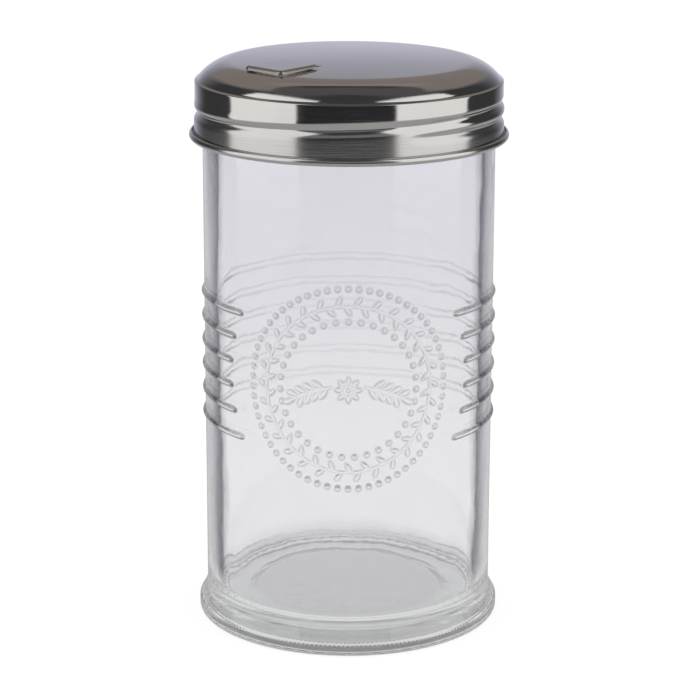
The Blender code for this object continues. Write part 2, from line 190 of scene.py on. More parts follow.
# Lid
LID_SHEET = 0.0006
DOME_RADIUS = 0.52
LID_SHOULDER_RADIUS = 0.0105
LID_SHOULDER_END = math.radians(54.0)
LID_SHOULDER_OUT = 0.02729
LID_SHOULDER_UP = 0.125148
LID_SHOULDER_START = math.asin(LID_SHOULDER_OUT / (DOME_RADIUS - LID_SHOULDER_RADIUS))
DOME_CURVE = DOME_RADIUS - LID_SHOULDER_RADIUS
DOME_MIDDLE = LID_SHOULDER_UP - DOME_CURVE * math.cos(LID_SHOULDER_START)
BAND_RADIUS = 0.03635
LEDGE_HEIGHT = 0.13108
LEDGE_FILLET = 0.00022
BAND_BOTTOM = 0.1274
SKIRT_RADIUS = 0.0366
SKIRT_TOP = 0.1242
CURL_MIDDLE = 0.1183
CURL_HOLLOW = 0.0003
CURL_SWEEP = math.radians(255.0)
BAND_MARGIN = 0.0006
GROOVE_FADE_ABOVE = 0.0002
GROOVE_FADE_BELOW = 0.0007
DOME_POLE_ANGLE = 0.004
LID_COLUMNS = 320
DOME_STEPS = 24
SHOULDER_STEPS = 22
CURL_STEPS = 20
LEDGE_SPACING = 0.0009
LID_WALL_SPACING = 0.00026

# Hinge, in its own frame: +X down the dome to the lid's edge, Y along the pin
HINGE = frame["joints"][[joint["name"] for joint in frame["joints"]].index("flap_hinge")]
FLAP_BEARING = math.radians(44.0)
FLAP_TILT = math.radians(1.0)
HINGE_DEPTH = 0.00165
PIN_RADIUS = 0.0006
PIN_LENGTH = 0.0118
PIN_ROUNDING = 0.0002
BORE_RADIUS = 0.0008
BORE_OVERRUN = 0.002
KNUCKLE_RADIUS = 0.0013
KNUCKLE_LENGTH = 0.0088
EAR_RADIUS = 0.0016
EAR_SPACING = 0.0096
OPENING_WIDTH = 0.0094
OPENING_START = -0.0016
OPENING_END = 0.0120
OPENING_CORNER = 0.0008
OPENING_SPACING = 0.02
OPENING_CUT = 0.0065
EAR_STEPS = 24
HOLE_STEPS = 32
ROD_COLUMNS = 48
ROD_ROUNDING_STEPS = 4
FLAP_SHEET = 0.0005
FLAP_TOP = 0.00251
FLAP_WIDTH = 0.0125
FLAP_LIP = 0.0134
FLAP_CORNER = 0.0020
FLAP_EDGE = 0.0010
FLAP_BEND_STEPS = 8
NORMAL_WEIGHT = 100
TONGUE_X = 0.00105
TONGUE_BEND = 0.0006
TONGUE_BEND_STEPS = 10
TONGUE_ROOT = 0.0012
TONGUE_INSET = 0.00008
CLEARANCE_COLUMNS = 192
CLEARANCE_DOME_STEPS = 14
CLEARANCE_SHOULDER_STEPS = 10
SHEET_SHARP_ANGLE = math.radians(38.0)
ROD_SHARP_ANGLE = math.radians(50.0)
SEAT_GAP = 0.0003
WELD = 0.00001

# Pressed glass: shades, and the stretches over which one shade or finish passes into the next
GLASS_LOW = (0.876, 0.873, 0.888, 1.0)
GLASS_HIGH = (0.816, 0.810, 0.840, 1.0)
GLASS_RISE = (0.030, 0.100)
# The foot's darker tints: the thick glass, and in part a painted shade
COVE_SHADE = (0.70, 0.705, 0.71, 1.0)
COVE_RISE = (0.006, 0.012)
STAND_SHADE = (0.58, 0.595, 0.59, 1.0)
STAND_RISE = (0.0026, 0.0034)
DISC_SHADE = (0.485, 0.49, 0.488, 1.0)
DISC_EDGE = (0.0215, 0.0250)
MOTTLE = 0.10
DRIFT_SCALE = 90.0
RIPPLE_SCALE = 420.0
STREAK_SCALE = 150.0
STREAK_STRETCH = (1.0, 1.0, 0.30)
RIPPLE_SHARE = 0.08
GLASS_BUMP = 0.25
GLASS_BUMP_DEPTH = 0.0004
GLASS_ROUGHNESS = 0.004
RIPPLE_ROUGHNESS = 0.012
BASE_ROUGHNESS = 0.05
BASE_ROUGHNESS_RISE = (0.008, 0.013)

# Pressed glass: painted shade of the wall as it turns away, with a lighter painted line near its
# outline, as (facing, grey level, level of blue). The small number keeps a root above zero.
PAINTED_EDGE_SHADES = [
    (0.41, 1.0, 1.0), (0.50, 0.50, 0.53), (0.55, 0.052, 0.064), (0.607, 0.105, 0.125),
    (0.70, 0.27, 0.30), (0.772, 0.41, 0.44), (0.855, 0.62, 0.62), (0.948, 0.35, 0.35),
]
EDGE_STREAK = 0.22
EDGE_RISE = (0.007, 0.016)
OUTER_FACE = (0.0329, 0.0333)
NO_ZERO = 0.0001

# Pressed glass: painted shade on the flanks of its relief, darker from a distance to the left and
# right on
FLANK_SLOPE = (0.003, 0.09)
FLANK_RISE = (0.030, 0.034)
FLANK_FADE = 0.7
FLANK_FADE_FACING = (0.35, 0.60)
FLANK_SHADE_LEVEL = 0.62
SIDE_FLANK_SHADE_LEVEL = 0.30
SIDE_START = (0.0222, 0.0240)

# Steel: light and dark tone, roughness, scale of its scuffs, and dullness and painted shade of its
# rims
LID_STEEL = ((0.66, 0.65, 0.645, 1.0), (0.60, 0.595, 0.60, 1.0), 0.075, 900.0, 0.0)
FLAP_STEEL = ((0.64, 0.63, 0.62, 1.0), (0.58, 0.575, 0.575, 1.0), 0.10, 1100.0, 1.0)
PIN_STEEL = ((0.55, 0.545, 0.54, 1.0), (0.46, 0.46, 0.465, 1.0), 0.22, 1600.0, 0.0)
CLOUD_SCALE = 55.0
CLOUD_RANGE = (0.3, 0.7)
CLOUD_SHARE = 0.7
CLOUD_ROUGHNESS = 0.03
TURNED_SCALE = 2600.0
TURNED_STRETCH = (0.03, 0.03, 1.0)
TURNED_ROUGHNESS = 0.04
SCUFF_RANGE = (0.58, 0.75)
SCUFF_ROUGHNESS = 0.04
GRAIN_SHARE = 0.5
STEEL_BUMP = 0.15
STEEL_BUMP_DEPTH = 0.00006
SKIRT_RISE = (0.1235, 0.1262)
SKIRT_ROUGHNESS = 0.10
RIM_SLOPE = (0.80, 0.985)
RIM_PAINTED_SHADE = (0.62, 0.58, 0.56, 1.0)
RIM_ROUGHNESS = 0.24

# Floor, table and camera
FLOOR_REACH = 30.0
FLOOR_MATT = 0.90
FLOOR_GLOW = 1.07
FLOOR_GLOW_SHARE = 0.80
TABLE_RADIUS = 0.70
TABLE_CLEAR = 0.30
TABLE_DROP = 0.0005
TABLE_COLUMNS = 96
TABLE_SHADE = (0.445, 0.435, 0.425, 1.0)
LIGHT_BOUNCES = 48
CAMERA_LENS = 131.43
SENSOR_WIDTH = 36.0
CAMERA_PITCH = 15.63
CAMERA_PLACE = (0.00037, -0.5959, 0.2315)
CAMERA_ROLL = 0.0028

# Lamps: name, place, size and power
LAMPS = [
    ("side_left", (-0.9, -0.35, 0.7), 0.8, 3.0),
    ("side_right", (0.9, -0.35, 0.7), 0.8, 3.0),
    ("overhead", (0.0, 0.25, 1.3), 1.0, 4.0),
]
LAMP_AIM = (0.0, 0.0, 0.06)

# Studio as the gloss sees it: shades, and edges as (angle, softness) in degrees. A side is an
# angle round from the front to the back, the same on both hands; the others rise from level.
ROOM_DARK = (0.050, 0.050, 0.052, 1.0)
PANEL_LOW = (0.64, 0.63, 0.74, 1.0)
PANEL_HIGH = (0.36, 0.36, 0.405, 1.0)
PANEL_SPLIT = (8.0, 9.0)
PANEL_SIDE = (155.0, 23.0)
WALL_GREY = (0.15, 0.15, 0.16, 1.0)
WALL_BROWN = (0.265, 0.227, 0.206, 1.0)
WALL_BROWN_SIDE = (121.0, 10.0)
WALL_SIDE = (106.0, 3.0)
WALL_FOOT = (17.5, 2.5)
WALL_SLANT = 0.87
WALL_SLANT_EDGE = (154.0, 4.0)
BEAM_SHADE = (0.31, 0.27, 0.25, 1.0)
BEAM_SIDE = (150.0, 8.0)
BEAM_FOOT = (49.0, 2.0)
BEAM_TOP = (57.0, 2.0)
CEILING_FRONT = (0.052, 0.051, 0.053, 1.0)
CEILING_BACK = (0.105, 0.100, 0.099, 1.0)
CEILING_SIDE = (75.0, 25.0)
CEILING_DIM = 0.058
CEILING_DIM_SIDE = (152.0, 8.0)
CEILING_DIM_TOP = (66.0, 2.5)
CEILING_FOOT = (58.5, 1.5)
FRONT_SIDE = (34.0, 3.0)
FRONT_DARK = (0.027, 0.026, 0.030, 1.0)
FRONT_DARK_TOP = (6.0, 6.0)
FRONT_GREY = 0.20
FRONT_GREY_FOOT = (10.0, 5.0)
FRONT_GREY_TOP = (50.0, 5.0)
SOFT_BOX_SHADE = (1.06, 1.045, 1.015, 1.0)
SOFT_BOX_INNER_EDGES = ((1.0, (34.9, 1.3)), (-1.0, (38.8, 1.3)))
SOFT_BOX_OUTER_EDGE = (99.2, 1.6)
SOFT_BOX_LEAN = 0.18
THROUGH_EDGE = (12.0, 20.0)
THROUGH_HIGH = 0.62
AMBIENT = 0.75

# Slanting top edge of the soft boxes, by the parts of a direction: its slope, the level way
# that it climbs, and the stretch over which it fades. The two hands part over a narrow one.
SOFT_BOX_SLOPE = 2.32
SOFT_BOX_WAY = (0.788, 0.616)
SOFT_BOX_TOP = (-0.16, 0.10)
HAND_EDGE = 0.001


class Link:
    """An output socket of a shader node. Arithmetic on it adds Math nodes."""

    def __init__(self, tree, socket=None):
        self.tree = tree
        self.socket = socket

    def node(self, kind, settings=None, values=None, output=0):
        """Add a node: its settings come first, then the values or links of its sockets."""
        made = self.tree.nodes.new(kind)
        for name, value in (settings or {}).items():
            if name == "stops":
                ramp = made.color_ramp
                while len(ramp.elements) < len(value):
                    ramp.elements.new(0.5)
                for element, (position, colour) in zip(ramp.elements, value):
                    element.position = position
                    element.color = colour
            else:
                setattr(made, name, value)
        for name, value in (values or {}).items():
            if isinstance(value, Link):
                self.tree.links.new(value.socket, made.inputs[name])
            else:
                made.inputs[name].default_value = value
        return Link(self.tree, made.outputs[output] if made.outputs else None)

    def output(self, name):
        return Link(self.tree, self.socket.node.outputs[name])

    def maths(self, operation, *values):
        return self.node("ShaderNodeMath", {"operation": operation}, dict(enumerate(values)))

    def __add__(self, other):
        return self.maths("ADD", self, other)

    __radd__ = __add__

    def __sub__(self, other):
        return self.maths("SUBTRACT", self, other)

    def __rsub__(self, other):
        return self.maths("SUBTRACT", other, self)

    def __mul__(self, other):
        return self.maths("MULTIPLY", self, other)

    __rmul__ = __mul__

    def __truediv__(self, other):
        return self.maths("DIVIDE", self, other)

    def step(self, start, end):
        """A smooth change from 0 at start to 1 at end."""
        return self.node(
            "ShaderNodeMapRange", {"interpolation_type": "SMOOTHSTEP"},
            {"Value": self, "From Min": start, "From Max": end},
        )

    def mix(self, first, second):
        """A colour between two colours, with this value as the share of the second."""
        return self.node(
            "ShaderNodeMix", {"data_type": "RGBA"}, {"Factor": self, 6: first, 7: second}, 2
        )

    def times(self, colour):
        """The product of this colour and another."""
        return self.node(
            "ShaderNodeMix", {"data_type": "RGBA", "blend_type": "MULTIPLY"},
            {"Factor": 1.0, 6: self, 7: colour}, 2,
        )


def grey(level):
    return (level, level, level, 1.0)


def noise(place, scale, detail):
    return place.node(
        "ShaderNodeTexNoise", values={"Vector": place, "Scale": scale, "Detail": detail}
    )


def stretched(place, factors):
    return place.node("ShaderNodeVectorMath", {"operation": "MULTIPLY"}, {0: place, 1: factors})


def vector_length(vector):
    return vector.node("ShaderNodeVectorMath", {"operation": "LENGTH"}, {0: vector}, "Value")


def turned_away(start, normal):
    """0 where a direction points at the viewer, 1 where it lies across the line of sight."""
    return start.node(
        "ShaderNodeLayerWeight", values={"Blend": 0.5, "Normal": normal}, output="Facing"
    )


def past(value, edge):
    """0 before an edge and 1 past it, where the edge is an angle and a softness in degrees."""
    angle, softness = edge
    return value.step(math.radians(angle - softness), math.radians(angle + softness))


def before(value, edge):
    return 1 - past(value, edge)


def new_material(name):
    """A material with its Principled shader, and a link to start its nodes from."""
    material = bpy.data.materials.new(name)
    material.use_nodes = True
    shader = material.node_tree.nodes["Principled BSDF"]
    return material, Link(material.node_tree), shader


def connect(shader, values):
    for name, value in values.items():
        if isinstance(value, Link):
            value.tree.links.new(value.socket, shader.inputs[name])
        else:
            shader.inputs[name].default_value = value


def clear_glass():
    """Pressed clear glass: grey, deeper towards the top and at the thick foot, partly painted shade
    there; painted shade where the wall is seen edge on and on the flanks of its relief."""
    material, start, shader = new_material("pressed_glass")
    place = start.node("ShaderNodeTexCoord", output="Object")
    sideways = start.node("ShaderNodeSeparateXYZ", values={"Vector": place}, output="X")
    height = sideways.output("Z")
    outwards = stretched(place, (1.0, 1.0, 0.0))
    radius = vector_length(outwards)
    spoke = start.node("ShaderNodeVectorMath", {"operation": "NORMALIZE"}, {0: outwards})
    level = start.node(
        "ShaderNodeVectorMath", {"operation": "DOT_PRODUCT"},
        {0: place.output("Normal"), 1: spoke}, "Value",
    )
    level = level.maths("ABSOLUTE", level)
    drift = noise(place, DRIFT_SCALE, 2.0)
    ripple = noise(place, RIPPLE_SCALE, 3.0)
    streak = noise(stretched(place, STREAK_STRETCH), STREAK_SCALE, 3.0)

    # The level share of the line of sight is taken out, so the edges stay clear from above
    steep = 1 - turned_away(start, (0.0, 0.0, 1.0))
    level_sight = 1 + NO_ZERO - steep * steep
    level_sight = level_sight.maths("SQRT", level_sight)
    facing = 1 - (1 - turned_away(start, spoke)) / level_sight
    # Painted shade where the wall turns edge on, and a lighter painted line near its outline
    edge = start.node(
        "ShaderNodeValToRGB",
        {"stops": [(stop, (shade, shade, blue, 1.0)) for stop, shade, blue in PAINTED_EDGE_SHADES]},
        {"Fac": facing + EDGE_STREAK * (streak - 0.5)},
    )

    mottle = MOTTLE * (drift - 0.5)
    # A grey that deepens towards the top
    tint_by_height = height.step(*GLASS_RISE).mix(GLASS_LOW, GLASS_HIGH)
    # Darker at the foot, partly for its thick glass and partly as painted shade
    disc = (1 - radius.step(*DISC_EDGE)).mix(STAND_SHADE, DISC_SHADE)
    cove = (height.step(*COVE_RISE) + mottle).mix(COVE_SHADE, tint_by_height)
    foot = (height.step(*STAND_RISE) + mottle).mix(disc, cove)
    outer = radius.step(*OUTER_FACE)
    # The painted edge shade, on the outer face above the foot
    shade = (outer * height.step(*EDGE_RISE)).mix(grey(1.0), edge)
    # Painted shade on the slopes of the relief, deeper far to the left and right
    flank_shade = (1 - level).step(*FLANK_SLOPE) * outer * height.step(*FLANK_RISE)
    flank_shade = flank_shade * (1 - FLANK_FADE * facing.step(*FLANK_FADE_FACING))
    aside = sideways.maths("ABSOLUTE", sideways).step(*SIDE_START)
    outline = aside.mix(grey(FLANK_SHADE_LEVEL), grey(SIDE_FLANK_SHADE_LEVEL))
    body = foot.times(shade).times(flank_shade.mix(grey(1.0), outline))

    rough_base = BASE_ROUGHNESS * (1 - height.step(*BASE_ROUGHNESS_RISE))
    bump = start.node("ShaderNodeBump", values={
        "Strength": GLASS_BUMP, "Distance": GLASS_BUMP_DEPTH, "Height": drift + RIPPLE_SHARE * ripple,
    })
    connect(shader, {
        "Base Color": body, "IOR": 1.5,
        "Roughness": GLASS_ROUGHNESS + RIPPLE_ROUGHNESS * ripple + rough_base,
        "Transmission Weight": 1.0, "Normal": bump,
    })
    return material


def polished_steel(name, light, dark, roughness, scale, dull_and_shaded_rims):
    """Polished sheet: a soft drift in colour, fine turned lines round it and small scuffs.
    Rims that turn away from the top can be rough and dull, with a darker, browner painted shade."""
    material, start, shader = new_material(name)
    place = start.node("ShaderNodeTexCoord", output="Object")
    cloud = noise(place, CLOUD_SCALE, 3.0)
    grain = noise(place, scale, 4.0)
    lines = noise(stretched(place, TURNED_STRETCH), TURNED_SCALE, 2.0)
    scuff = grain.step(*SCUFF_RANGE)
    height = start.node("ShaderNodeSeparateXYZ", values={"Vector": place}, output="Z")
    low = 1 - height.step(*SKIRT_RISE)
    upright = start.node(
        "ShaderNodeSeparateXYZ", values={"Vector": place.output("Normal")}, output="Z"
    )
    # Rims turned away from the top: rougher, and darker and browner as a painted shade
    dull_and_shaded_rim = dull_and_shaded_rims * (1 - upright.step(*RIM_SLOPE))
    rough = (
        RIM_ROUGHNESS * dull_and_shaded_rim + roughness + CLOUD_ROUGHNESS * (cloud - 0.5)
        + SCUFF_ROUGHNESS * scuff + TURNED_ROUGHNESS * (lines - 0.5) + SKIRT_ROUGHNESS * low
    )
    bump = start.node("ShaderNodeBump", values={
        "Strength": STEEL_BUMP, "Distance": STEEL_BUMP_DEPTH, "Height": lines + GRAIN_SHARE * grain,
    })
    tone = cloud.step(*CLOUD_RANGE) * CLOUD_SHARE + (1 - CLOUD_SHARE) * lines
    connect(shader, {
        "Base Color": tone.mix(dark, light).times(dull_and_shaded_rim.mix(grey(1.0), RIM_PAINTED_SHADE)), "Metallic": 1.0,
        "Roughness": rough, "Normal": bump,
    })
    return material


def add_piece(name, mesh, body, material, node):
    """Put a finished mesh into the scene in place of a CAD node."""
    piece = bpy.data.objects.new(name, mesh)
    bpy.context.scene.collection.objects.link(piece)
    mesh.materials.clear()
    mesh.materials.append(material)
    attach(piece, body)
    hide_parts(node)
    return piece


def arc(centre, radius, start, end, steps):
    """Points (r, z) of an arc, with angles measured from straight up towards the outside."""
    points = []
    for step in range(steps + 1):
        angle = start + (end - start) * step / steps
        points.append((centre[0] + radius * math.sin(angle), centre[1] + radius * math.cos(angle)))
    return points


def rounded(corners, spacing, turn_step=math.radians(9.0)):
    """Points along corners (r, z, fillet radius): arcs at the corners, even steps between them."""
    points = [tuple(corners[0][:2])]
    last = len(corners) - 1
    for index in range(1, last + 1):
        x, y, radius = corners[index]
        here = Vector((x, y))
        bend = [(x, y)]
        if radius > 0 and index < last:
            back = (Vector(corners[index - 1][:2]) - here).normalized()
            ahead = (Vector(corners[index + 1][:2]) - here).normalized()
            half = back.angle(ahead) / 2
            centre = here + (back + ahead).normalized() * radius / math.sin(half)
            first = here + back * radius / math.tan(half) - centre
            turn = math.pi - 2 * half
            steps = max(2, math.ceil(turn / turn_step))
            if back.x * ahead.y - back.y * ahead.x > 0:
                turn = -turn
            spokes = [Matrix.Rotation(turn * step / steps, 2) @ first for step in range(steps + 1)]
            bend = [(centre.x + spoke.x, centre.y + spoke.y) for spoke in spokes]
        run = Vector(bend[0]) - Vector(points[-1])
        pieces = max(1, math.ceil(run.length / spacing))
        start = Vector(points[-1])
        points += [tuple(start + run * step / pieces) for step in range(1, pieces)]
        points += bend
    return points


def mesh_from_rings(name, rings, pole_start=None, pole_end=None):
    """A smooth mesh through rings of points (rings x columns x 3), closed round each ring."""
    count, columns, _ = rings.shape
    points = rings.reshape(-1, 3)
    index = np.arange(count * columns).reshape(count, columns)
    here, there = index[:-1], index[1:]
    quads = np.stack(
        [here, np.roll(here, -1, 1), np.roll(there, -1, 1), there], axis=-1
    ).reshape(-1, 4).tolist()
    extra = []
    for pole, ring, forward in ((pole_start, index[0], True), (pole_end, index[-1], False)):
        if pole is None:
            continue
        centre = len(points) + len(extra)
        extra.append(pole)
        for one, two in zip(ring.tolist(), np.roll(ring, -1).tolist()):
            quads.append([centre, two, one] if forward else [centre, one, two])
    mesh = bpy.data.meshes.new(name)
    mesh.from_pydata(points.tolist() + extra, [], quads)
    mesh.shade_smooth()
    return mesh


def around(radius, height, bearing):
    """Points at radii and heights (rings x columns) round the jar's middle."""
    height = np.broadcast_to(height, radius.shape)
    return np.stack([radius * np.sin(bearing), -radius * np.cos(bearing), height], -1)


def full_turn(columns):
    """Bearings spread evenly over one turn."""
    return np.linspace(0.0, 2 * math.pi, columns + 1)[:-1]


def soft_step(values, start, end):
    share = np.clip((values - start) / (end - start), 0.0, 1.0)
    return share * share * (3 - 2 * share)


def dish(distance, reach, power=MOUND_POWER):
    """A mound with a crisp foot: 1 in its middle and 0 from reach outwards."""
    return np.clip(1.0 - (distance / reach) ** 2, 0.0, 1.0) ** power


def wrapped(bearing):
    return (bearing + np.pi) % (2 * np.pi) - np.pi


def rib_relief(across, height):
    """Six rod-like ribs that end in round noses on the edge of the bare front field."""
    relief = np.zeros_like(across)
    behind = soft_step(np.abs(across) / BODY_RADIUS, BACK_RIB_START, BACK_RIB_END)
    stand = RIB_STAND + (BACK_RIB_STAND - RIB_STAND) * behind
    reach = RIB_REACH + (BACK_RIB_REACH - RIB_REACH) * behind
    for index in range(RIB_COUNT):
        rise = (index - (RIB_COUNT - 1) / 2) * RIB_PITCH
        start = math.sqrt(BARE_FIELD_RADIUS ** 2 - rise ** 2) + RIB_REACH / RIB_NOSE_TAPER
        short = RIB_NOSE_TAPER * np.maximum(start - np.abs(across), 0.0)
        away = np.hypot(short, height - RIB_MIDDLE - rise)
        relief = np.maximum(relief, stand * dish(away, reach, MOUND_POWER + BACK_RIB_POWER * behind))
    return relief


def leaf(across, up, place, angle, length, width):
    """A leaf from a middle point, pointed at both ends and wider towards its root."""
    right = across - place[0]
    rise = up - place[1]
    long = (right * math.cos(angle) + rise * math.sin(angle)) / length
    wide = (rise * math.cos(angle) - right * math.sin(angle)) / width
    taper = 1.0 + LEAF_ROOT_SHARE * long + LEAF_POINT_SHARE * long ** 2
    return LEAF_STAND * dish(np.hypot(long, wide * taper), 1.0, 1.0)


def garland_relief(across, up):
    """A stem round the middle with leaves on both sides of it."""
    away = np.abs(np.hypot(across, up) - GARLAND_RADIUS)
    relief = STEM_STAND * dish(away, STEM_REACH)
    for index in range(2 * GARLAND_LEAVES):
        side = 1 if index % 2 else -1
        turn = math.pi * index / GARLAND_LEAVES
        place = GARLAND_RADIUS + side * LEAF_OFFSET
        spot = (place * math.sin(turn), place * math.cos(turn))
        angle = -(turn + math.pi / 2) - side * LEAF_TURN
        relief = np.maximum(relief, leaf(across, up, spot, angle, LEAF_LENGTH, LEAF_WIDTH))
    return relief


def flower_relief(across, up):
    """An eight-petalled flower, with a leafy sprig curving out from it to each side."""
    relief = LEAF_STAND * dish(np.hypot(across, up), FLOWER_EYE)
    for index in range(PETALS):
        turn = 2 * math.pi * index / PETALS
        spot = (PETAL_DISTANCE * math.cos(turn), PETAL_DISTANCE * math.sin(turn))
        relief = np.maximum(relief, leaf(across, up, spot, turn, PETAL_LENGTH, PETAL_WIDTH))
    for side in (-1, 1):
        out = side * across
        bend = up - SPRIG_SPACING / 2 + out ** 2 * SPRIG_ARCH / 2
        reach = SPRIG_START + SPRIG_LEAVES * SPRIG_SPACING
        along = (out > PETAL_DISTANCE + PETAL_LENGTH) & (out < reach)
        relief = np.maximum(relief, np.where(along, STEM_STAND * dish(bend, STEM_REACH), 0.0))
        for index in range(2 * SPRIG_LEAVES + 1):
            place = SPRIG_START + index * SPRIG_SPACING / 2
            lift = SPRIG_SPACING / 2 - place ** 2 * SPRIG_ARCH / 2
            slope = -place * SPRIG_ARCH
            fan = (1 if index % 2 else -1) * LEAF_TURN * SPRIG_FAN_SHARE
            if index == 2 * SPRIG_LEAVES:
                fan = 0.0
            angle = math.atan(slope) + fan
            spot = (
                place + SPRIG_SEAT_SHARE * SPRIG_LEAF_LENGTH * math.cos(angle),
                lift + SPRIG_SEAT_SHARE * SPRIG_LEAF_LENGTH * math.sin(angle),
            )
            relief = np.maximum(
                relief, leaf(out, up, spot, angle + math.pi, SPRIG_LEAF_LENGTH, SPRIG_LEAF_WIDTH)
            )
    return relief


def medallion_relief(across, height):
    """Two rings of beads, a garland between them and a flower in the middle."""
    up = height - MEDALLION_MIDDLE
    relief = np.maximum(garland_relief(across, up), flower_relief(across, up))
    for ring, count, reach, stand in (OUTER_BEAD_RING, INNER_BEAD_RING):
        for index in range(count):
            turn = 2 * math.pi * index / count
            away = np.hypot(across - ring * math.sin(turn), up - ring * math.cos(turn))
            relief = np.maximum(relief, stand * dish(away, reach))
    return relief


def groove(bearing, height, shift, spread):
    """Depth of the screw groove at a bearing and height: the deeper of the turns that pass it."""
    deepest = 0.0 * (bearing + height)
    turns, lines = np.transpose(GROOVE_PATH)
    stops, depths = np.transpose(GROOVE_DEPTHS)
    for turn in (0, 1):
        swept = np.degrees(bearing) % 360.0 + 360.0 * turn
        depth = np.interp(swept, stops, depths, 0.0, 0.0)
        line = np.interp(swept, turns, lines) + shift
        deepest = np.maximum(deepest, depth * np.exp(-((height - line) / spread) ** 2))
    return deepest


def wall_drift(bearing, height):
    """The inner face of pressed glass is never quite round."""
    tall = height / WALL_WAVE_HEIGHT
    return sum(
        size * np.sin(waves * bearing + start + climb * tall)
        for size, waves, start, climb in WALL_WAVES
    )


def jar_columns():
    """Bearings of the columns of points, closer together in front, where the relief is."""
    front = np.linspace(-FRONT_REACH, FRONT_REACH, FRONT_COLUMNS + 1)[:-1]
    back = np.linspace(FRONT_REACH, 360.0 - FRONT_REACH, BACK_COLUMNS + 1)[:-1]
    return np.radians(np.concatenate([front, back]))


def even(start, end, spacing):
    return list(np.linspace(start, end, max(2, math.ceil(abs(end - start) / spacing) + 1)))


def jar_outline():
    """Zones of (r, z) points: from the underside's middle up the outside, then down the inside."""
    low, high = RIB_MIDDLE - RELIEF_REACH, RIB_MIDDLE + RELIEF_REACH
    stand_start, stand_end = STAND_INNER_RADIUS + STAND_MARGIN, FOOT_RADIUS - FOOT_MARGIN
    neck_start, neck_end = SHOULDER_TOP + NECK_MARGIN, RIM_TOP - RIM_MARGIN
    underside = rounded([
        (POLE_RADIUS, BASE_DISC_HOLLOW, 0.0),
        (BASE_DISC_RADIUS - DISC_STEP_INSIDE, BASE_DISC_HOLLOW, DISC_STEP_FILLET),
        (BASE_DISC_RADIUS + DISC_STEP_OUTSIDE, STAND_HOLLOW, DISC_STEP_FILLET),
        (STAND_INNER_RADIUS - STAND_SLOPE, STAND_HOLLOW, STAND_SLOPE_FILLET),
        (STAND_INNER_RADIUS, 0.0, STAND_FILLET),
        (stand_start, 0.0, 0.0),
    ], COARSE_SPACING)
    stand = [(r, 0.0) for r in even(stand_start, stand_end, FINE_SPACING)]
    foot = rounded([
        (stand_end, 0.0, 0.0),
        (FOOT_RADIUS, 0.0, FOOT_EDGE_FILLET),
        (FOOT_RADIUS, FOOT_BAND_TOP, FOOT_BAND_FILLET),
        (BODY_RADIUS, FOOT_COVE_TOP, FOOT_COVE_FILLET),
        (BODY_RADIUS, WALL_START, 0.0),
    ], FOOT_SPACING)
    wall = rounded([(BODY_RADIUS, WALL_START, 0.0), (BODY_RADIUS, low, 0.0)], COARSE_SPACING)
    body = [(BODY_RADIUS, z) for z in even(low, high, RELIEF_SPACING)]
    shoulder = rounded([
        (BODY_RADIUS, high, 0.0),
        (BODY_RADIUS, SHOULDER_BOTTOM, SHOULDER_FILLET),
        (NECK_RADIUS, SHOULDER_TOP, SHOULDER_FILLET),
        (NECK_RADIUS, neck_start, 0.0),
    ], COARSE_SPACING)
    neck = [(NECK_RADIUS, z) for z in even(neck_start, neck_end, FINE_SPACING)]
    inside = rounded([
        (NECK_RADIUS, neck_end, 0.0),
        (NECK_RADIUS, RIM_TOP, RIM_FILLET),
        (MOUTH_RADIUS, RIM_TOP, RIM_FILLET),
        (MOUTH_RADIUS, SHOULDER_TOP, SHOULDER_FILLET),
        (INNER_RADIUS, SHOULDER_BOTTOM, SHOULDER_FILLET),
        (INNER_RADIUS, FLOOR_EDGE, FLOOR_FILLET),
        (INNER_RADIUS - FLOOR_FILLET - FLOOR_MARGIN, FLOOR_EDGE, 0.0),
    ], INSIDE_SPACING)
    curve = (BASE_DISC_RADIUS ** 2 + FLOOR_RISE ** 2) / (2 * FLOOR_RISE)
    floor = arc(
        (0.0, FLOOR_EDGE + FLOOR_RISE - curve), curve,
        math.asin(BASE_DISC_RADIUS / curve), POLE_ANGLE, FLOOR_STEPS,
    )
    zones = [
        ("underside", underside), ("stand", stand), ("foot", foot), ("wall", wall), ("body", body),
        ("shoulder", shoulder), ("neck", neck), ("inside", inside), ("floor", floor),
    ]
    return [(zone, point) for zone, points in zones for point in points]


